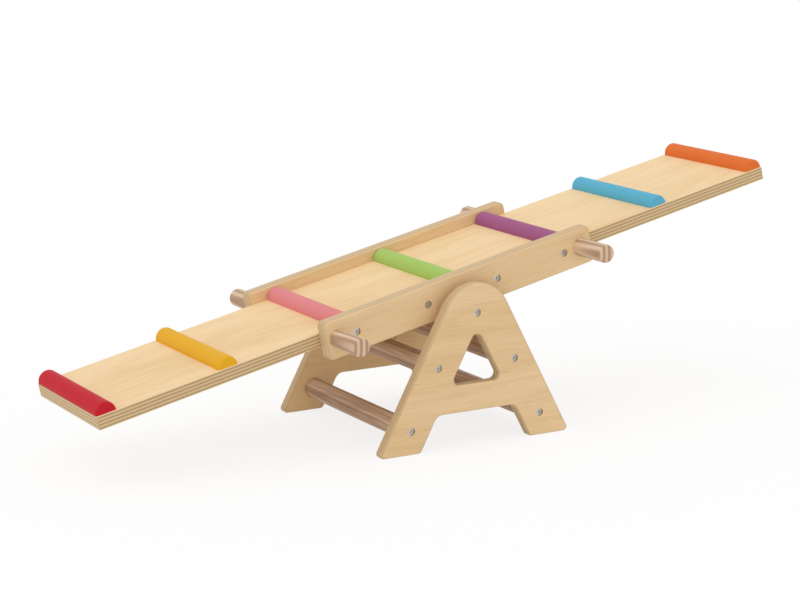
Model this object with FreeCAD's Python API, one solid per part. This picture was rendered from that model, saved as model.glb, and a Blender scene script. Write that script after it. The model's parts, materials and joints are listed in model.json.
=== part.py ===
# Kids' rocker: a plywood board with half-round slats that rocks on the top rung of an A-shaped trestle.
# Millimetres, +Z up, +X along the board to its orange slat, origin on the floor under the rocking axis.
import FreeCAD, Part
import math
import os

Vector = FreeCAD.Vector

# Board
board_length = 1200
board_width = 222
board_thickness = 21
board_edge_round = 1

# Slats: half dowels glued and screwed across the board, from the -X end to the +X end
slat_colours = ["red", "yellow", "pink", "green", "purple", "blue", "orange"]
slat_radius = 16
slat_side_inset = 1
slat_end_round = 4

# Rails along the middle of the board's long edges
rail_length = 480
rail_thickness = 21
rail_rise = 19
rail_corner_radius = 8
rail_edge_round = 3
rail_bolt_count = 4
rail_bolt_pitch = 125

# Saddles in the rails' lower edges, which ride on the top rung
saddle_clearance = 0.3
saddle_wrap = 1
board_clearance = 2

# Hand grips on the rails' outer faces
grip_diameter = 28
grip_reach = 70
grip_inset = 21
grip_end_round = 3

# Side panels of the trestle, seen from the front as a letter A
trestle_height = 250
leg_splay_degrees = 28.2
leg_width = 64
apex_radius = 60
foot_corner_radius = 6
arch_height = 54
arch_fillet = 15
window_sill_height = 97
window_corner_radius = 9
panel_thickness = 18
panel_edge_round = 3

# Rungs between the panels, which stand clear of the rails
rung_diameter = 32
panel_clearance = 13
top_rung_drop = 45
middle_rung_height = 127
middle_rung_outset = 2
lower_rung_height = 36

# Angle of the board in the stored pose, with its -X end low
rest_tilt_degrees = 12.56

# Connector bolts with a flat head and a hexagon socket, and their threaded inserts
bolt_diameter = 6
bolt_engagement = 24
bolt_head_diameter = 12
bolt_head_height = 3
bolt_head_recess = 2.5
bolt_socket_width = 5
bolt_socket_depth = 2
insert_diameter = 10
insert_length = 30

# Dowel screws of the grips
grip_screw_diameter = 8
grip_screw_depth_in_grip = 40
grip_screw_depth_in_board = 32

# Countersunk screws of the slats
slat_screw_diameter = 4
slat_screw_head_diameter = 8
slat_screw_head_height = 3
slat_screw_depth_in_slat = 10
slat_screw_spacing = 110
slat_screw_recess = 0.3

# Radial room round a fastener, room at the bottom of its hole, and how far a cut runs past a face
fastener_gap = 0.1
hole_end_room = 1
cut_overrun = 5

# Places on the trestle
top_rung_height = trestle_height - top_rung_drop
rung_radius = rung_diameter / 2
rung_length = board_width + 2 * (rail_thickness + panel_clearance)
panel_inner_y = rung_length / 2
panel_outer_y = panel_inner_y + panel_thickness
leg_splay = math.radians(leg_splay_degrees)
outer_apex_height = trestle_height + apex_radius * (1 / math.sin(leg_splay) - 1)
inner_apex_height = outer_apex_height - leg_width / math.sin(leg_splay)

# Places on the board, in a level frame whose X-Y plane holds the axis of the top rung
board_bottom = rung_radius + board_clearance
board_top = board_bottom + board_thickness
board_middle = (board_bottom + board_top) / 2
rail_inner_y = board_width / 2
rail_outer_y = rail_inner_y + rail_thickness
rail_top = board_top + rail_rise
rail_bottom = -saddle_wrap
saddle_radius = rung_radius + saddle_clearance
slat_reach = board_length / 2 - slat_radius
slat_pitch = 2 * slat_reach / (len(slat_colours) - 1)
slat_length = board_width - 2 * slat_side_inset
slat_xs = [slat_pitch * i - slat_reach for i in range(len(slat_colours))]
rail_bolt_reach = rail_bolt_pitch * (rail_bolt_count - 1) / 2
rail_bolt_xs = [rail_bolt_pitch * i - rail_bolt_reach for i in range(rail_bolt_count)]
grip_x = rail_length / 2 - grip_inset
grip_places = [(x, side) for side in (-1, 1) for x in (-grip_x, grip_x)]
bolt_sink = bolt_head_height + bolt_head_recess


def leg_middle_x(height):
    """Half the distance between the middle lines of the two legs at a height."""
    outer = (outer_apex_height - height) * math.tan(leg_splay)
    inner = (inner_apex_height - height) * math.tan(leg_splay)
    return (outer + inner) / 2


middle_rung_x = leg_middle_x(middle_rung_height) + middle_rung_outset
lower_rung_x = leg_middle_x(lower_rung_height)
rung_places = {
    "top_rung": (0, top_rung_height),
    "left_middle_rung": (-middle_rung_x, middle_rung_height),
    "right_middle_rung": (middle_rung_x, middle_rung_height),
    "left_lower_rung": (-lower_rung_x, lower_rung_height),
    "right_lower_rung": (lower_rung_x, lower_rung_height),
}


def rounded_face(corners):
    """A face in the X-Z plane from corners (x, z, radius), each rounded with a tangent arc of its radius."""
    arcs = []
    for i, (x, z, radius) in enumerate(corners):
        corner = Vector(x, 0, z)
        before = corners[i - 1]
        after = corners[(i + 1) % len(corners)]
        to_before = (Vector(before[0], 0, before[1]) - corner).normalize()
        to_after = (Vector(after[0], 0, after[1]) - corner).normalize()
        half_angle = to_before.getAngle(to_after) / 2
        tangent_length = radius / math.tan(half_angle)
        inward = (to_before + to_after).normalize()
        arc_start = corner + to_before * tangent_length
        arc_middle = corner + inward * (radius / math.sin(half_angle) - radius)
        arc_end = corner + to_after * tangent_length
        arcs.append((arc_start, arc_middle, arc_end))
    edges = []
    for i, arc in enumerate(arcs):
        last_end = arcs[i - 1][2]
        if not last_end.isEqual(arc[0], Part.Precision.confusion()):
            edges.append(Part.LineSegment(last_end, arc[0]).toShape())
        edges.append(Part.Arc(*arc).toShape())
    return Part.Face(Part.Wire(edges))


def ease_faces(plate, thickness, radius):
    """Round the edges of both broad faces of a plate that lies from y = 0 to its thickness."""
    tolerance = Part.Precision.confusion()
    rims = []
    for edge in plate.Edges:
        box = edge.BoundBox
        if box.YLength < tolerance and (abs(box.YMin) < tolerance or abs(box.YMin - thickness) < tolerance):
            rims.append(edge)
    return plate.makeFillet(radius, rims)


def plate_between(face, y_from, thickness, edge_round):
    """A plate with eased edges, extruded from a face in the X-Z plane and set at y_from."""
    plate = ease_faces(face.extrude(Vector(0, thickness, 0)), thickness, edge_round)
    plate.translate(Vector(0, y_from, 0))
    return plate


def inward_y(shape, x, y, z):
    """Move a shape to a place, with its own +Z axis pointing from there towards the middle plane."""
    direction = Vector(0, -math.copysign(1, y), 0)
    shape.Placement = FreeCAD.Placement(Vector(x, y, z), FreeCAD.Rotation(Vector(0, 0, 1), direction))
    return shape


def round_bar(radius, length, start=0):
    """A round bar on the Z axis that begins at a height."""
    return Part.makeCylinder(radius, length, Vector(0, 0, start))


def connector_bolt(plate_thickness):
    """A flat-headed bolt, sunk from z = 0, that passes through a plate into its insert."""
    head = round_bar(bolt_head_diameter / 2, bolt_head_height, bolt_head_recess)
    shank = round_bar(bolt_diameter / 2, plate_thickness - bolt_sink + bolt_engagement, bolt_sink)
    corner_radius = bolt_socket_width / math.sqrt(3)
    corners = []
    for i in range(7):
        angle = math.radians(60 * i)
        corners.append(Vector(corner_radius * math.cos(angle), corner_radius * math.sin(angle), 0))
    socket = Part.Face(Part.makePolygon(corners)).extrude(Vector(0, 0, bolt_socket_depth))
    socket.translate(Vector(0, 0, bolt_head_recess))
    return head.fuse(shank).removeSplitter().cut(socket)


def bolt_hole(plate_thickness):
    """The stepped hole for a connector bolt, from just outside a plate to just past it."""
    sink = round_bar(bolt_head_diameter / 2 + fastener_gap, bolt_sink + cut_overrun, -cut_overrun)
    bore = round_bar(bolt_diameter / 2 + fastener_gap, plate_thickness + cut_overrun)
    return sink.fuse(bore)


def threaded_insert():
    """A threaded sleeve that lies flush in the end of its hole."""
    bore = round_bar(bolt_diameter / 2 + fastener_gap, insert_length + 2 * cut_overrun, -cut_overrun)
    return round_bar(insert_diameter / 2, insert_length).cut(bore)


def insert_hole():
    """The blind hole for a threaded insert."""
    depth = insert_length + hole_end_room
    return round_bar(insert_diameter / 2 + fastener_gap, depth + cut_overrun, -cut_overrun)


def grip_screw_hole():
    """The hole for a grip's dowel screw, from inside the grip to inside the board."""
    start = -grip_screw_depth_in_grip - hole_end_room
    end = rail_thickness + grip_screw_depth_in_board + hole_end_room
    return round_bar(grip_screw_diameter / 2 + fastener_gap, end - start, start)


def slat_screw(gap=0):
    """A countersunk screw that points up from the board's underside; a gap all round shapes its hole."""
    head_radius = slat_screw_head_diameter / 2 + gap
    shank_radius = slat_screw_diameter / 2 + gap
    head = Part.makeCone(head_radius, shank_radius, slat_screw_head_height, Vector(0, 0, slat_screw_recess))
    length = board_thickness + slat_screw_depth_in_slat - slat_screw_recess
    return head.fuse(round_bar(shank_radius, length, slat_screw_recess))


def slat_screw_hole():
    """The hole for a slat screw, open at the board's underside, with room past the screw's tip."""
    head_radius = slat_screw_head_diameter / 2 + fastener_gap
    tip_radius = slat_screw_diameter / 2 + fastener_gap
    sink = round_bar(head_radius, slat_screw_recess + cut_overrun, -cut_overrun)
    tip = round_bar(tip_radius, slat_screw_depth_in_slat + hole_end_room, board_thickness)
    return slat_screw(fastener_gap).fuse([sink, tip])


def copies_at(shape, places):
    """A copy of a shape at each place, pointing from there towards the middle plane."""
    return [inward_y(shape.copy(), x, y, z) for x, y, z in places]


# Places of the fasteners
panel_bolt_places = [(x, side * panel_outer_y, z) for x, z in rung_places.values() for side in (-1, 1)]
rung_insert_places = [(x, side * panel_inner_y, z) for x, z in rung_places.values() for side in (-1, 1)]
rail_bolt_places = [(x, side * rail_outer_y, board_middle) for side in (-1, 1) for x in rail_bolt_xs]
board_insert_places = [(x, side * rail_inner_y, board_middle) for side in (-1, 1) for x in rail_bolt_xs]
grip_screw_places = [(x, side * rail_outer_y, board_middle) for x, side in grip_places]
slat_screw_places = [(x, side * slat_screw_spacing / 2) for x in slat_xs for side in (-1, 1)]


def on_side(places, side):
    """The places on the front side (-1) or the back side (1)."""
    return [place for place in places if place[1] * side > 0]


def under_slats(shape):
    """A copy of a shape at each slat screw's place on the board's underside."""
    return [shape.translated(Vector(x, y, board_bottom)) for x, y in slat_screw_places]


def side_panel(side):
    """An A-shaped panel: two splayed legs under a round apex, an arch between the feet and a hand window."""
    spread = math.tan(leg_splay)
    outer_foot_x = outer_apex_height * spread
    inner_foot_x = inner_apex_height * spread
    arch_x = (inner_apex_height - arch_height) * spread
    window_x = (inner_apex_height - window_sill_height) * spread
    outline = rounded_face([
        (-outer_foot_x, 0, foot_corner_radius),
        (0, outer_apex_height, apex_radius),
        (outer_foot_x, 0, foot_corner_radius),
        (inner_foot_x, 0, foot_corner_radius),
        (arch_x, arch_height, arch_fillet),
        (-arch_x, arch_height, arch_fillet),
        (-inner_foot_x, 0, foot_corner_radius),
    ])
    window = rounded_face([
        (-window_x, window_sill_height, window_corner_radius),
        (0, inner_apex_height, window_corner_radius),
        (window_x, window_sill_height, window_corner_radius),
    ])
    y_from = min(side * panel_inner_y, side * panel_outer_y)
    panel = plate_between(outline.cut(window).Faces[0], y_from, panel_thickness, panel_edge_round)
    return panel.cut(copies_at(bolt_hole(panel_thickness), on_side(panel_bolt_places, side)))


def rung(name):
    """A dowel between the panels, bored at both ends for its inserts."""
    x, z = rung_places[name]
    dowel = Part.makeCylinder(rung_radius, rung_length, Vector(x, -panel_inner_y, z), Vector(0, 1, 0))
    return dowel.cut(copies_at(insert_hole(), [(x, -panel_inner_y, z), (x, panel_inner_y, z)]))


def board():
    """The seat board, bored in its edges for inserts and grip screws and from below for the slat screws."""
    corner = Vector(-board_length / 2, -board_width / 2, board_bottom)
    plank = Part.makeBox(board_length, board_width, board_thickness, corner)
    plank = plank.makeFillet(board_edge_round, plank.Edges)
    holes = copies_at(insert_hole(), board_insert_places)
    holes += copies_at(grip_screw_hole(), grip_screw_places)
    holes += under_slats(slat_screw_hole())
    return plank.cut(holes)


def slat(x):
    """A half dowel laid flat side down across the board, with rounded ends."""
    y = -slat_length / 2
    left = Vector(x - slat_radius, y, board_top)
    crown = Vector(x, y, board_top + slat_radius)
    right = Vector(x + slat_radius, y, board_top)
    profile = Part.Wire([Part.Arc(left, crown, right).toShape(), Part.LineSegment(right, left).toShape()])
    half_dowel = Part.Face(profile).extrude(Vector(0, slat_length, 0))
    end_arcs = [edge for edge in half_dowel.Edges if isinstance(edge.Curve, Part.Circle)]
    half_dowel = half_dowel.makeFillet(slat_end_round, end_arcs)
    return half_dowel.cut(under_slats(slat_screw_hole()))


def saddle_cut():
    """The slot with a round top that the saddles leave for the top rung, right across the board."""
    length = 2 * (rail_outer_y + cut_overrun)
    depth = cut_overrun - rail_bottom
    crown = Part.makeCylinder(saddle_radius, length, Vector(0, -length / 2, 0), Vector(0, 1, 0))
    mouth = Part.makeBox(2 * saddle_radius, length, depth, Vector(-saddle_radius, -length / 2, -depth))
    return crown.fuse(mouth)


def rail(side):
    """A rail with rounded corners and a saddle in the middle of its lower edge."""
    half_length = rail_length / 2
    outline = rounded_face([
        (-half_length, rail_bottom, rail_corner_radius),
        (half_length, rail_bottom, rail_corner_radius),
        (half_length, rail_top, rail_corner_radius),
        (-half_length, rail_top, rail_corner_radius),
    ])
    y_from = min(side * rail_inner_y, side * rail_outer_y)
    plate = plate_between(outline, y_from, rail_thickness, rail_edge_round)
    holes = [saddle_cut()]
    holes += copies_at(bolt_hole(rail_thickness), on_side(rail_bolt_places, side))
    holes += copies_at(grip_screw_hole(), on_side(grip_screw_places, side))
    return plate.cut(holes)


def grip(x, side):
    """A hand grip that stands square on the rail, rounded at its free end and bored for its dowel screw."""
    dowel = round_bar(grip_diameter / 2, grip_reach, -grip_reach)
    free_end = [edge for edge in dowel.Edges if edge.BoundBox.ZMax < -grip_reach / 2]
    dowel = dowel.makeFillet(grip_end_round, free_end)
    return inward_y(dowel.cut(grip_screw_hole()), x, side * rail_outer_y, board_middle)


def grip_screw():
    """A double-ended dowel screw that runs from the grip through the rail into the board's edge."""
    length = grip_screw_depth_in_grip + rail_thickness + grip_screw_depth_in_board
    return round_bar(grip_screw_diameter / 2, length, -grip_screw_depth_in_grip)


# The trestle stands on the floor
trestle = {
    "front_side_panel": side_panel(-1),
    "back_side_panel": side_panel(1),
    "rung_bolts": Part.makeCompound(copies_at(connector_bolt(panel_thickness), panel_bolt_places)),
    "rung_inserts": Part.makeCompound(copies_at(threaded_insert(), rung_insert_places)),
}
for rung_name in rung_places:
    trestle[rung_name] = rung(rung_name)

# The rocking board is made level about the axis of the top rung
rocking_board = {
    "board": board(),
    "front_rail": rail(-1),
    "back_rail": rail(1),
    "rail_bolts": Part.makeCompound(copies_at(connector_bolt(rail_thickness), rail_bolt_places)),
    "rail_inserts": Part.makeCompound(copies_at(threaded_insert(), board_insert_places)),
    "grip_screws": Part.makeCompound(copies_at(grip_screw(), grip_screw_places)),
    "slat_screws": Part.makeCompound(under_slats(slat_screw())),
}
for colour, slat_x in zip(slat_colours, slat_xs):
    rocking_board["slat_" + colour] = slat(slat_x)
for grip_place_x, grip_side in grip_places:
    depth_word = "front" if grip_side < 0 else "back"
    end_word = "left" if grip_place_x < 0 else "right"
    rocking_board[depth_word + "_" + end_word + "_grip"] = grip(grip_place_x, grip_side)

# The board then tilts about that axis into the stored pose
rest_tilt = FreeCAD.Rotation(Vector(0, 1, 0), -rest_tilt_degrees)
to_rest = FreeCAD.Placement(Vector(0, 0, top_rung_height), rest_tilt)
for piece in rocking_board.values():
    piece.Placement = to_rest.multiply(piece.Placement)

os.makedirs("parts", exist_ok=True)
for name, shape in {**trestle, **rocking_board}.items():
    print(name, "solids:", len(shape.Solids), "mm3:", round(shape.Volume), "valid:", shape.isValid())
    shape.exportStep("parts/" + name + ".step")
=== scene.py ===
# %% [markdown]
# # A wooden rocker for small children
#
# The real object is a long plywood board with painted slats across it. Two rails clasp the middle of the
# board, and saddles in their lower edges ride on the top rung of an A-shaped trestle. Every solid piece
# comes ready made and in place from the packed model, so this lesson gives those pieces their finishes:
# birch veneer with its plies at the cut edges, striped dowels, satin paint and zinc-plated bolts.

# %% Load the packed model
import json
import math

import bmesh
import bpy
from mathutils import Color, Matrix, Vector


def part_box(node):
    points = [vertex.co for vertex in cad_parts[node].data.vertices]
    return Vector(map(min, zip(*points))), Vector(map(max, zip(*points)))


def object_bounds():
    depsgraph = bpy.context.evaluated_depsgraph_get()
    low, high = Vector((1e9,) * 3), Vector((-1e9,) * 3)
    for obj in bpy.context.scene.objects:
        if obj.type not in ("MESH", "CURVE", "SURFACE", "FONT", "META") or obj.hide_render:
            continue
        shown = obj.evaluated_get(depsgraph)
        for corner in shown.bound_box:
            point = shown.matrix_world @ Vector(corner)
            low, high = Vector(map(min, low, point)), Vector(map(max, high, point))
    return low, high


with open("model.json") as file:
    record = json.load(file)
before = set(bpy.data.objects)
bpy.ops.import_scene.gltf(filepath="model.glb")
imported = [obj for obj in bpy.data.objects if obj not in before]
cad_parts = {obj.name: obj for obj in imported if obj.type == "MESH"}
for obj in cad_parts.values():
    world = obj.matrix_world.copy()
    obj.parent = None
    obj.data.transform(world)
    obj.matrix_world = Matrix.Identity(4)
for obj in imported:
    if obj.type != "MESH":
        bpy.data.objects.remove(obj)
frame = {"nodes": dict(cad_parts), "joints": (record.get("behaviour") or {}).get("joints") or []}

cad_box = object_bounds()
nodes = frame["nodes"]
print(len(nodes), "pieces, from", cad_box[0][:], "to", cad_box[1][:])

# %% [markdown]
# ## Where the board would be level
#
# The model is stored as it is photographed, with the red end of the board low. Veneer and plies follow the
# board and not the floor, so the finishes need the board's own level frame. The rocking joint gives it:
# the board swings as far one way as the other, so it is level at the middle of the joint's range.

# %% Level frame of the board
rock = next(joint for joint in frame["joints"] if joint["name"] == "board_rock")
rock_axis = Vector(rock["pos_m"])
rest_tilt = -math.radians(sum(rock["range_deg"]) / 2)
level_from_rest = (Matrix.Translation(rock_axis) @ Matrix.Rotation(rest_tilt, 4, "Y")).inverted()
print("the board rests at", round(math.degrees(rest_tilt), 2), "degrees about the top rung")

# %% [markdown]
# ## The camera
#
# The photograph looks down on the rocker from the front left with a long lens, so its sides hardly
# converge. A camera is placed by angles round the trestle and turned to a point near the middle of the
# view. That is easier to adjust than three rotations.


# %% Camera
def direction_at(azimuth, elevation):
    """The direction at an angle round from the front and an angle up from the floor, in degrees."""
    round_from_front = math.radians(azimuth)
    up_from_floor = math.radians(elevation)
    return Vector((
        math.sin(round_from_front) * math.cos(up_from_floor),
        -math.cos(round_from_front) * math.cos(up_from_floor),
        math.sin(up_from_floor),
    ))


view_azimuth = -30.9
view_elevation = 12.9
view_distance = 3.548
view_pivot = Vector((0, 0, 0.150))
view_target = Vector((-0.023, 0.027, 0.1916))
lens_length = 102.2

camera = bpy.data.objects.new("camera", bpy.data.cameras.new("camera"))
camera.data.lens = lens_length
camera.location = view_pivot + direction_at(view_azimuth, view_elevation) * view_distance
camera.rotation_mode = "QUATERNION"
camera.rotation_quaternion = (view_target - camera.location).to_track_quat("-Z", "Y")
bpy.context.scene.collection.objects.link(camera)
bpy.context.scene.camera = camera
bpy.context.scene.view_settings.view_transform = "Standard"
print("camera at", camera.location[:])

# %% [markdown]
# ## Placing shader nodes
#
# A finish is a tree of shader nodes. Writing `nodes.new` and `links.new` for each one hides the idea
# behind the wiring, so small helpers place a node, fill its sockets with numbers or with the outputs of
# other nodes, and hand back what it puts out. The others build on the first and do sums.


# %% Helpers for nodes and sums
def place_node(tree, kind, inputs=None, **settings):
    """A new node with its settings made and each named input set to a value or linked to a socket."""
    node = tree.nodes.new(kind)
    node.location = (len(tree.nodes) * node.width, 0)
    for name, value in settings.items():
        setattr(node, name, value)
    for key, value in (inputs or {}).items():
        if isinstance(value, bpy.types.NodeSocket):
            tree.links.new(value, node.inputs[key])
        else:
            node.inputs[key].default_value = value
    return node


def calculate(tree, operation, first, second=0.0, third=0.0):
    """The result of one sum on numbers or sockets."""
    return place_node(tree, "ShaderNodeMath", {0: first, 1: second, 2: third}, operation=operation).outputs[0]


def add_share(tree, base, share, value):
    """A base with a share of a value added to it."""
    return calculate(tree, "MULTIPLY_ADD", value, share, base)


def from_middle(tree, value):
    """A value between 0 and 1, shifted so that its middle is 0."""
    return calculate(tree, "SUBTRACT", value, 0.5)


def clamp(tree, value):
    """A value kept between 0 and 1."""
    return place_node(tree, "ShaderNodeClamp", {"Value": value}).outputs[0]


def calculate_vector(tree, operation, first, second=(0, 0, 0)):
    """The result of one sum on vectors."""
    return place_node(tree, "ShaderNodeVectorMath", {0: first, 1: second}, operation=operation).outputs[0]


def length_of(tree, vector):
    """The length of a vector."""
    return place_node(tree, "ShaderNodeVectorMath", {0: vector}, operation="LENGTH").outputs["Value"]


def parts_of(tree, vector):
    """The three numbers of a vector, by the names X, Y and Z."""
    return place_node(tree, "ShaderNodeSeparateXYZ", {0: vector}).outputs


print("place_node gives:", place_node.__doc__)

# %% [markdown]
# ## Patterns and colours
#
# Wood is drawn with noise: stretched along the grain, its blots turn into clouds, streaks and fibres.
# Colours are written as they should show on screen, because that is how they are read from a photograph,
# and turned into the linear light that Blender mixes.


# %% Helpers for patterns and colours
def fade(tree, value, low, high):
    """0 where a value has not yet reached low, 1 where it is past high, and a smooth step between them."""
    inputs = {"Value": value, "From Min": low, "From Max": high}
    return place_node(tree, "ShaderNodeMapRange", inputs, interpolation_type="SMOOTHSTEP").outputs[0]


def stretched_noise(tree, place, waves_per_metre, detail, roughness=0.5):
    """Noise between 0 and 1 whose waves per metre differ along X, Y and Z."""
    vector = calculate_vector(tree, "MULTIPLY", place, waves_per_metre)
    inputs = {"Vector": vector, "Scale": 1.0, "Detail": detail, "Roughness": roughness}
    return place_node(tree, "ShaderNodeTexNoise", inputs).outputs[0]


def mix_colours(tree, factor, first, second):
    """Two colours mixed by a factor."""
    inputs = {"Factor": factor, 6: first, 7: second}
    return place_node(tree, "ShaderNodeMix", inputs, data_type="RGBA").outputs[2]


def shown(red, green, blue):
    """A colour as it should show on screen, from 0 to 255, in linear light."""
    linear = Color((red / 255, green / 255, blue / 255)).from_srgb_to_scene_linear()
    return (*linear, 1.0)


print("white is", shown(255, 255, 255), "and a middle grey is", shown(128, 128, 128))

# %% [markdown]
# ## Node groups
#
# Fibres show in the veneer, in the dowels and, faintly, through the paint. Such a shared effect is one
# node group with named sockets, built once and placed in each finish with its own values.


# %% Helpers for node groups
def new_group(name, inputs, outputs):
    """An empty node group with named sockets, and the two nodes that stand for its ends."""
    group = bpy.data.node_groups.new(name, "ShaderNodeTree")
    for socket_name, kind in inputs.items():
        group.interface.new_socket(socket_name, in_out="INPUT", socket_type="NodeSocket" + kind)
    for socket_name, kind in outputs.items():
        group.interface.new_socket(socket_name, in_out="OUTPUT", socket_type="NodeSocket" + kind)
    return group, group.nodes.new("NodeGroupInput").outputs, group.nodes.new("NodeGroupOutput")


def put_out(group, end, results):
    """Link results to the group's outputs of the same names."""
    for name, socket in results.items():
        group.links.new(socket, end.inputs[name])
    print(group.name, "has", len(group.nodes), "nodes and puts out", ", ".join(results))


def place_group(tree, group, inputs):
    """The outputs of a group placed in a finish."""
    return place_node(tree, "ShaderNodeGroup", inputs, node_tree=group).outputs


print("node groups so far:", len(bpy.data.node_groups))

# %% [markdown]
# ### Fibres
#
# Sanded wood shows thin lengthwise fibres, a few tenths of a millimetre wide and some centimetres long.
# Noise that is stretched along the grain gives both their tone and the slight ridges that light catches.
# The peaks of a finer noise give short flecks among them.

# %% Fibre group
fibres, given, end = new_group(
    "Wood fibres", {"Place": "Vector", "Waves": "Vector"}, {"Tone": "Float", "Fleck": "Float"}
)
flecks_per_fibre = (2.2, 2.2, 2.2)
fleck_rim, fleck_core = 0.66, 0.80

tone = stretched_noise(fibres, given["Place"], given["Waves"], detail=4.0, roughness=0.6)
place_in_fibres = calculate_vector(fibres, "MULTIPLY", given["Place"], given["Waves"])
specks = stretched_noise(fibres, place_in_fibres, flecks_per_fibre, detail=1.0)
put_out(fibres, end, {"Tone": tone, "Fleck": fade(fibres, specks, fleck_rim, fleck_core)})

# %% [markdown]
# ### Peeled veneer
#
# Birch veneer is peeled from the log in one long ribbon, so its figure is broad, wavy and pale. The
# contour lines of a smooth noise, stretched along the grain, have the same long closed loops. Seen from
# close up, birch also has short brown dashes, which are scars in its growth.

# %% Veneer figure
veneer, given, end = new_group(
    "Birch veneer",
    {"Place": "Vector", "Pale": "Color", "Warm": "Color"},
    {"Colour": "Color", "Height": "Float", "Roughness": "Float"},
)
wobble_share = 0.05
radians_per_hill = 95.0
line_sharpness = 3.0

cloud = stretched_noise(veneer, given["Place"], waves_per_metre=(1.6, 9.0, 9.0), detail=2.0)
hills = stretched_noise(veneer, given["Place"], waves_per_metre=(1.1, 6.5, 6.5), detail=1.0)
wobble = stretched_noise(veneer, given["Place"], waves_per_metre=(9.0, 60.0, 60.0), detail=2.0)
grain = place_group(veneer, fibres, {"Place": given["Place"], "Waves": (14.0, 480.0, 480.0)})
height_on_hill = add_share(veneer, hills, wobble_share, wobble)
wave = calculate(veneer, "SINE", calculate(veneer, "MULTIPLY", height_on_hill, radians_per_hill))
contour_lines = calculate(veneer, "POWER", add_share(veneer, 0.5, 0.5, wave), line_sharpness)
print("the figure of the veneer takes", len(veneer.nodes), "nodes")

# %% Veneer colour
scar_tone = shown(178, 134, 88)
cloud_low, cloud_high = 0.30, 0.72
cloud_share, line_share, fibre_share, scar_share = 0.55, 0.22, 1.1, 0.55
veneer_roughness, cloud_roughness = 0.48, 0.14

warmth = calculate(veneer, "MULTIPLY", fade(veneer, cloud, cloud_low, cloud_high), cloud_share)
warmth = add_share(veneer, warmth, line_share, contour_lines)
warmth = add_share(veneer, warmth, fibre_share, from_middle(veneer, grain["Tone"]))
sapwood = mix_colours(veneer, clamp(veneer, warmth), given["Pale"], given["Warm"])
scars = calculate(veneer, "MULTIPLY", grain["Fleck"], scar_share)
put_out(veneer, end, {
    "Colour": mix_colours(veneer, scars, sapwood, scar_tone),
    "Height": grain["Tone"],
    "Roughness": add_share(veneer, veneer_roughness, cloud_roughness, cloud),
})

# %% [markdown]
# ### Plies
#
# A plywood edge is duller than its faces and shows its layers. A ply that is cut across its fibres looks
# darker still, and the fibres turn by a right angle from ply to ply. So the long plies, whose fibres run
# as on the faces, are dark where a cut faces along the grain, and the cross plies are dark where it faces
# across. A slanted cut shows some of both. Two things are needed for that: the depth below one face, which
# tells the plies apart, and the way the surface faces. The faces stay plain, just as in the real sheet.
#
# The depth is counted in plies. A sine of it changes its sign from ply to ply, which makes it a mask for
# the cross plies and, turned over, for the long ones. The outer plies are sanded and so a little thinner.

# %% Depth in plies
plies, given, end = new_group(
    "Plies",
    {
        "Place": "Vector",
        "Depth": "Float",
        "Thickness": "Float",
        "Count": "Float",
        "Facing along": "Float",
        "Facing across": "Float",
    },
    {"Cut edge": "Float", "End grain": "Float"},
)
sanded_off = 0.35
ripple_share = 0.20

share_of_depth = calculate(plies, "DIVIDE", given["Depth"], given["Thickness"])
plies_left = calculate(plies, "SUBTRACT", given["Count"], 2 * sanded_off)
level = calculate(plies, "MULTIPLY_ADD", share_of_depth, plies_left, sanded_off)
ripple = stretched_noise(plies, given["Place"], waves_per_metre=(18.0, 18.0, 18.0), detail=2.0)
level = add_share(plies, level, ripple_share, from_middle(plies, ripple))
band = calculate(plies, "SINE", calculate(plies, "MULTIPLY", level, -math.pi))
print("the depth in plies takes", len(plies.nodes), "nodes")

# %% End grain and cut edge
ply_blur = 0.45
least_strength, pore_strength = 0.70, 0.3
face_skin, full_edge = 0.0002, 0.0020

cross_plies = calculate(plies, "MULTIPLY", fade(plies, band, 0.0, ply_blur), given["Facing across"])
long_plies = calculate(plies, "MULTIPLY", fade(plies, band, 0.0, -ply_blur), given["Facing along"])
pores = stretched_noise(plies, given["Place"], waves_per_metre=(420.0, 420.0, 420.0), detail=2.0)
strength = add_share(plies, least_strength, pore_strength, pores)
end_grain = calculate(plies, "MULTIPLY", calculate(plies, "ADD", cross_plies, long_plies), strength)
from_back = calculate(plies, "SUBTRACT", given["Thickness"], given["Depth"])
nearest_face = calculate(plies, "MINIMUM", given["Depth"], from_back)
put_out(plies, end, {
    "Cut edge": fade(plies, nearest_face, face_skin, full_edge),
    "End grain": clamp(plies, end_grain),
})

# %% [markdown]
# ### Growth rings in a dowel
#
# A dowel is turned from a plank, so the log's middle lies well outside it. Rings round that far middle
# cut the dowel in stripes along its length and in shallow arcs on its end. Since the texture is solid,
# stripes and arcs meet at the rounded end by themselves. In each ring the wood darkens and pales again.

# %% Ring group
rings, given, end = new_group(
    "Growth rings", {"Place": "Vector", "Log middle": "Vector", "Ring width": "Float"}, {"Late wood": "Float"}
)
lean_of_log = 0.035
sway_of_log = 0.012
darkening = (0.10, 0.52)
paling = (0.68, 1.0)

from_log = parts_of(rings, calculate_vector(rings, "SUBTRACT", given["Place"], given["Log middle"]))
sway = stretched_noise(rings, given["Place"], waves_per_metre=(9.0, 5.0, 9.0), detail=1.0)
outward = add_share(rings, from_log["X"], lean_of_log, from_log["Y"])
outward = add_share(rings, outward, sway_of_log, sway)
across_log = place_node(rings, "ShaderNodeCombineXYZ", {"X": outward, "Z": from_log["Z"]}).outputs[0]
rings_out = calculate(rings, "DIVIDE", length_of(rings, across_log), given["Ring width"])
in_ring = calculate(rings, "FRACT", rings_out)
not_pale_yet = calculate(rings, "SUBTRACT", 1.0, fade(rings, in_ring, *paling))
late_wood = calculate(rings, "MULTIPLY", fade(rings, in_ring, *darkening), not_pale_yet)
put_out(rings, end, {"Late wood": late_wood})

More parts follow.
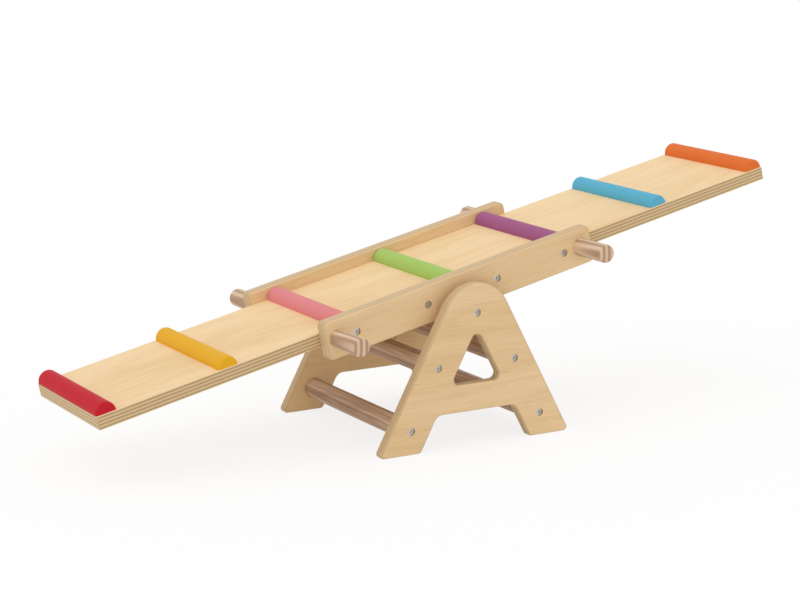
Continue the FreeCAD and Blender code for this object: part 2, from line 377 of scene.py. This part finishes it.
# %% [markdown]
# ## Finishes
#
# Every finish below is a material whose shader gets a colour and a roughness that change over the surface,
# and a height that becomes a slight bump. Patterns are placed by the model's own coordinates, in metres.
# The pieces of the board use the level frame instead, so that their grain runs along the board.


# %% Helpers for finishes
def new_finish(name):
    """A material with its tree and its shader, ready for a colour, a roughness and a bump."""
    material = bpy.data.materials.new(name)
    material.use_nodes = True
    return material, material.node_tree, material.node_tree.nodes["Principled BSDF"]


def own_frame(tree):
    """The place on a piece and the way its surface faces there, in the model's own frame."""
    surface = place_node(tree, "ShaderNodeTexCoord").outputs
    return surface["Object"], surface["Normal"]


def own_place(tree):
    """The place on a piece in the model's own frame."""
    return own_frame(tree)[0]


def level_frame(tree):
    """The place and the facing of a piece of the board, in the frame in which the board is level."""
    place, facing = own_frame(tree)
    tilt = (0, rest_tilt, 0)
    move_back = {"Vector": place, "Location": rock_axis, "Rotation": tilt}
    turn_back = {"Vector": facing, "Rotation": tilt}
    level_place = place_node(tree, "ShaderNodeMapping", move_back, vector_type="TEXTURE").outputs[0]
    level_facing = place_node(tree, "ShaderNodeMapping", turn_back, vector_type="TEXTURE").outputs[0]
    return level_place, level_facing


def connect(tree, shader, colour, roughness, height, relief, gloss=0.5):
    """Link a finish to its shader, with its height as bump; relief is the bump's depth in metres."""
    inputs = {"Height": height, "Distance": relief, "Strength": 0.5}
    tree.links.new(place_node(tree, "ShaderNodeBump", inputs).outputs[0], shader.inputs["Normal"])
    tree.links.new(colour, shader.inputs["Base Color"])
    tree.links.new(roughness, shader.inputs["Roughness"])
    shader.inputs["Specular IOR Level"].default_value = gloss


def dress(finish, *names):
    """Give a finish to pieces of the packed model."""
    for name in names:
        nodes[name].material_slots[0].material = finish
    print(finish.name, "is on", ", ".join(names))


wood_relief = 0.0001
lacquer_gloss = 0.3
print("fibres stand", wood_relief * 1000, "mm proud at most")

# %% [markdown]
# ## Birch plywood
#
# The board, the rails and the trestle's side panels are all birch plywood with a clear matt lacquer. The
# finish is one function: the veneer group colours the wood, the ply group darkens the end grain, and a
# little bump lets the fibres catch the light. The sheets differ in tone as painted light and shade: the
# front panel and the rails get a darker veneer, painted shade on their front faces, and the back panel a
# paler one, painted light on its inner face in the shade under the board. The edges of the rails and panels
# are painted lighter, for more light on the rails' top edges. Each piece is cut from its own part of a sheet.

# %% Plywood sheets
pale_veneer = {"Pale": shown(246, 216, 168), "Warm": shown(229, 192, 138)}
# A darker veneer: painted shade for the front panel and the rails.
shade_darkened_veneer = {"Pale": shown(239, 208, 162), "Warm": shown(219, 183, 133)}
dull_edge = shown(218, 188, 142)
# A lighter edge: painted light that stands in for more light on the rails' top edges.
edge_with_painted_light = shown(227, 198, 155)
end_grain_tone = shown(168, 140, 102)
board_sheet = {"veneer": pale_veneer, "edge": dull_edge, "plies": 9}
rail_sheet = {"veneer": shade_darkened_veneer, "edge": edge_with_painted_light, "plies": 9}
front_panel_sheet = {"veneer": shade_darkened_veneer, "edge": edge_with_painted_light, "plies": 7}
# The back panel takes the paler veneer, as painted light on its shaded inner face.
back_panel_sheet = {"veneer": pale_veneer, "edge": edge_with_painted_light, "plies": 7}
print(board_sheet["plies"], "plies in the board,", front_panel_sheet["plies"], "in the side panels")


# %% Plywood finish
def plywood(name, frame_of, stacked_along, first_face, last_face, sheet, cut_from):
    """Lacquered birch plywood with its grain along X and its plies stacked along Y or Z."""
    material, tree, shader = new_finish(name)
    place, facing = frame_of(tree)
    depth = calculate(tree, "SUBTRACT", parts_of(tree, place)[stacked_along], first_face)
    facing = parts_of(tree, calculate_vector(tree, "ABSOLUTE", facing))
    cross_fibres = "Y" if stacked_along == "Z" else "Z"
    place_in_sheet = calculate_vector(tree, "ADD", place, cut_from)
    face = place_group(tree, veneer, {"Place": place_in_sheet, **sheet["veneer"]})
    stack = place_group(tree, plies, {
        "Place": place,
        "Depth": depth,
        "Thickness": last_face - first_face,
        "Count": sheet["plies"],
        "Facing along": facing["X"],
        "Facing across": facing[cross_fibres],
    })
    colour = mix_colours(tree, stack["Cut edge"], face["Colour"], sheet["edge"])
    colour = mix_colours(tree, stack["End grain"], colour, end_grain_tone)
    connect(tree, shader, colour, face["Roughness"], face["Height"], wood_relief, lacquer_gloss)
    return material


# %% Plywood pieces
board_cut = (3.4, 0.9, 0.0)
# The front rail and the front panel are cut where the figure runs warmer, for more painted shade.
rail_cuts = {"front_rail": (2.2, 0.9, 0.5), "back_rail": (3.8, 1.9, 1.2)}
panel_sheets_and_cuts = {
    "front_side_panel": (front_panel_sheet, (2.2, 0.9, 0.5)),
    "back_side_panel": (back_panel_sheet, (0.7, 0.2, 0.1)),
}

heights = [(level_from_rest @ vertex.co).z for vertex in nodes["board"].data.vertices]
dress(plywood("board_plywood", level_frame, "Z", min(heights), max(heights), board_sheet, board_cut), "board")
for name, cut_from in rail_cuts.items():
    low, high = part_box(name)
    dress(plywood(name + "_plywood", level_frame, "Y", low.y, high.y, rail_sheet, cut_from), name)
for name, (sheet, cut_from) in panel_sheets_and_cuts.items():
    low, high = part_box(name)
    dress(plywood(name + "_plywood", own_frame, "Y", low.y, high.y, sheet, cut_from), name)

# %% [markdown]
# ## Dowels
#
# The rungs and the grips are turned from a browner wood with cream and reddish stripes. Each dowel gets
# its own log, so that no two have the same stripes. The middles of the rungs' logs go round the rungs by
# the golden angle, which never comes back to the same place; fine long streaks all but hide these rings.
# The grips are paler than the rungs, whose darker tone is partly painted shade from the board above them.
# The grips' rings are wide and stand upright, so their ends show upright stripes. How many rings lie
# between a grip and its log's middle decides where its stripes fall.


# %% Dowel wood
def dowel_wood(name, log_middle, ring_width, ring_share, early_tone, late_tone):
    """Lacquered dowel wood with rings round a log's middle; the rest of its figure is long streaks."""
    streak_rim, streak_core = 0.35, 0.68
    fibre_share = 0.8
    early_roughness, late_roughness = 0.56, -0.08
    material, tree, shader = new_finish(name)
    place = own_place(tree)
    growth = place_group(tree, rings, {"Place": place, "Log middle": log_middle, "Ring width": ring_width})
    grain = place_group(tree, fibres, {"Place": place, "Waves": (420.0, 12.0, 420.0)})
    streaks = stretched_noise(tree, place, waves_per_metre=(190.0, 3.0, 190.0), detail=3.0)
    streaks = fade(tree, streaks, streak_rim, streak_core)
    figure = {"Factor": ring_share, 2: streaks, 3: growth["Late wood"]}
    late = place_node(tree, "ShaderNodeMix", figure).outputs[0]
    late = clamp(tree, add_share(tree, late, fibre_share, from_middle(tree, grain["Tone"])))
    colour = mix_colours(tree, late, early_tone, late_tone)
    roughness = add_share(tree, early_roughness, late_roughness, late)
    connect(tree, shader, colour, roughness, grain["Tone"], wood_relief, lacquer_gloss)
    return material


# %% Rungs
# The rungs are a little darker than the grips, partly as painted shade under the board.
rung_tones_with_painted_shade = (shown(213, 183, 156), shown(157, 121, 94))
rung_ring_width = 0.0040
rung_ring_share = 0.2
rung_rings_to_log = 40
golden_angle = math.radians(137.5)

for turn, name in enumerate(sorted(name for name in nodes if name.endswith("_rung"))):
    low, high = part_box(name)
    towards_log = Vector((math.cos(turn * golden_angle), 0, math.sin(turn * golden_angle)))
    log_middle = (low + high) / 2 + towards_log * rung_ring_width * rung_rings_to_log
    dress(dowel_wood(name + "_wood", log_middle, rung_ring_width, rung_ring_share, *rung_tones_with_painted_shade), name)

# %% Grips
grip_tones = (shown(225, 195, 165), shown(177, 141, 113))
grip_ring_width = 0.0094
grip_ring_share = 1.0
grip_rings_to_log = {
    "back_left_grip": 13.32,
    "back_right_grip": 13.80,
    "front_left_grip": 13.25,
    "front_right_grip": 13.75,
}

for name, rings_to_log in grip_rings_to_log.items():
    low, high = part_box(name)
    log_middle = (low + high) / 2 - Vector((grip_ring_width * rings_to_log, 0, 0))
    dress(dowel_wood(name + "_wood", log_middle, grip_ring_width, grip_ring_share, *grip_tones), name)

# %% [markdown]
# ## Painted slats
#
# The slats are half dowels in satin paint. Paint hides the wood's colour but not quite its surface: the
# fibres still show as faint ridges, and the coat is a touch uneven.

# %% Paint
slat_colours = {
    "red": shown(201, 32, 46),
    "yellow": shown(238, 179, 38),
    "pink": shown(231, 137, 141),
    "green": shown(171, 205, 104),
    "purple": shown(166, 93, 138),
    "blue": shown(95, 181, 210),
    "orange": shown(234, 117, 52),
}
paint_relief = 0.00006
paint_gloss = 0.1
thin_coat = 0.86
coat_share, ridge_share = 0.5, 0.35
paint_roughness, coat_roughness = 0.45, 0.15


def paint(name, colour):
    """Satin paint over wood, a little darker where its coat is thin or lies on a fibre."""
    material, tree, shader = new_finish(name)
    place = own_place(tree)
    grain = place_group(tree, fibres, {"Place": place, "Waves": (300.0, 10.0, 300.0)})
    coat = stretched_noise(tree, place, waves_per_metre=(30.0, 12.0, 30.0), detail=3.0)
    darker = [channel * thin_coat for channel in colour[:3]] + [1.0]
    uneven = add_share(tree, calculate(tree, "MULTIPLY", coat, coat_share), ridge_share, grain["Tone"])
    mixed = mix_colours(tree, uneven, colour, darker)
    roughness = add_share(tree, paint_roughness, coat_roughness, coat)
    connect(tree, shader, mixed, roughness, grain["Tone"], paint_relief, paint_gloss)
    return material


for word, colour in slat_colours.items():
    dress(paint(word + "_paint", colour), "slat_" + word)

# %% [markdown]
# ## Bolts and screws
#
# Connector bolts, inserts and screws are steel with bright zinc plating: pale, a little cloudy and finely
# scratched.

# %% Zinc
bright_zinc = shown(214, 210, 202)
dull_zinc = shown(176, 172, 164)
scratch_depth = 0.00002
zinc_roughness, haze_roughness = 0.22, 0.25

zinc, tree, shader = new_finish("zinc_plating")
place = own_place(tree)
cloudy = stretched_noise(tree, place, waves_per_metre=(220.0, 220.0, 220.0), detail=3.0)
scratches = stretched_noise(tree, place, waves_per_metre=(2600.0, 900.0, 400.0), detail=2.0)
plated = mix_colours(tree, cloudy, bright_zinc, dull_zinc)
dullness = add_share(tree, zinc_roughness, haze_roughness, cloudy)
connect(tree, shader, plated, dullness, scratches, scratch_depth)
shader.inputs["Metallic"].default_value = 1.0
dress(zinc, "rung_bolts", "rail_bolts", "rung_inserts", "rail_inserts", "grip_screws", "slat_screws")

# %% [markdown]
# ## Light
#
# The rocker was photographed in a bright studio, with soft light from all sides. A world of one plain
# colour gives that, and a broad, weak lamp high on the left lifts the tops and the left ends a little.
# Together they have the level at which colours show about as they are written. The world is pure white
# where it is seen, straight or as a reflection, and a little dimmer as a light.


# %% World
def seen(tree):
    """1 on the rays that show a thing to the camera, straight or by reflection or through glass."""
    ray = place_node(tree, "ShaderNodeLightPath").outputs
    straight_or_reflected = calculate(tree, "MAXIMUM", ray["Is Camera Ray"], ray["Is Glossy Ray"])
    return calculate(tree, "MAXIMUM", straight_or_reflected, ray["Is Transmission Ray"])


white = (1, 1, 1, 1)
sky_level = 0.80
world = bpy.data.worlds.new("studio")
world.use_nodes = True
bpy.context.scene.world = world
tree = world.node_tree
tree.nodes.clear()
as_light = place_node(tree, "ShaderNodeBackground", {"Color": white, "Strength": sky_level}).outputs[0]
as_seen = place_node(tree, "ShaderNodeBackground", {"Color": white, "Strength": 1.0}).outputs[0]
shell = place_node(tree, "ShaderNodeMixShader", {0: seen(tree), 1: as_light, 2: as_seen}).outputs[0]
place_node(tree, "ShaderNodeOutputWorld", {"Surface": shell})
print("the world lights at", sky_level, "and shows at 1.0")

# %% Lamp
lamp_level = 0.20
lamp_azimuth = -70
lamp_elevation = 62
lamp_spread = math.radians(60)
lamp = bpy.data.objects.new("side_lamp", bpy.data.lights.new("side_lamp", "SUN"))
lamp.data.energy = lamp_level * math.pi
lamp.data.angle = lamp_spread
towards_lamp = direction_at(lamp_azimuth, lamp_elevation)
lamp.rotation_mode = "QUATERNION"
lamp.rotation_quaternion = towards_lamp.to_track_quat("Z", "Y")
bpy.context.scene.collection.objects.link(lamp)
print("light on a level surface:", round(sky_level + lamp_level * towards_lamp.z, 3))

# %% [markdown]
# ## Floor
#
# The rocker stands on a white floor that runs into the white background. A plain white floor would look
# grey beside that background, so the floor also glows where it is seen: wholly far out, and less near the
# rocker, where its faint shadow has to show.

# %% Floor disc
floor_radius = 30
floor_corners = 96
floor_mesh = bpy.data.meshes.new("floor")
disc = bmesh.new()
bmesh.ops.create_circle(disc, cap_ends=True, radius=floor_radius, segments=floor_corners)
disc.to_mesh(floor_mesh)
disc.free()
floor = bpy.data.objects.new("floor", floor_mesh)
floor.location.z = cad_box[0].z
bpy.context.scene.collection.objects.link(floor)
print("floor at height", floor.location.z)

# %% Floor finish
shadow_radius = 0.5
white_radius = 2.5
glow_near_rocker = 0.8
tone_as_light = (0.95, 0.95, 0.95, 1.0)
tone_as_seen = (0.99, 0.99, 0.99, 1.0)

floor_finish = bpy.data.materials.new("white_floor")
floor_finish.use_nodes = True
tree = floor_finish.node_tree
tree.nodes.clear()
in_view = seen(tree)
floor_tone = mix_colours(tree, in_view, tone_as_light, tone_as_seen)
lit = place_node(tree, "ShaderNodeBsdfDiffuse", {"Color": floor_tone}).outputs[0]
glowing = place_node(tree, "ShaderNodeEmission", {"Color": white, "Strength": 1.0}).outputs[0]
glow = place_node(tree, "ShaderNodeMapRange", {
    "Value": length_of(tree, own_place(tree)),
    "From Min": shadow_radius,
    "From Max": white_radius,
    "To Min": glow_near_rocker,
    "To Max": 1.0,
}, interpolation_type="SMOOTHSTEP").outputs[0]
glow = calculate(tree, "MULTIPLY", glow, in_view)
surface = place_node(tree, "ShaderNodeMixShader", {0: glow, 1: lit, 2: glowing}).outputs[0]
place_node(tree, "ShaderNodeOutputMaterial", {"Surface": surface})
floor_mesh.materials.append(floor_finish)
print(floor_finish.name, "has", len(tree.nodes), "nodes")

# %% [markdown]
# ## Finish
#
# The finishes change no size.
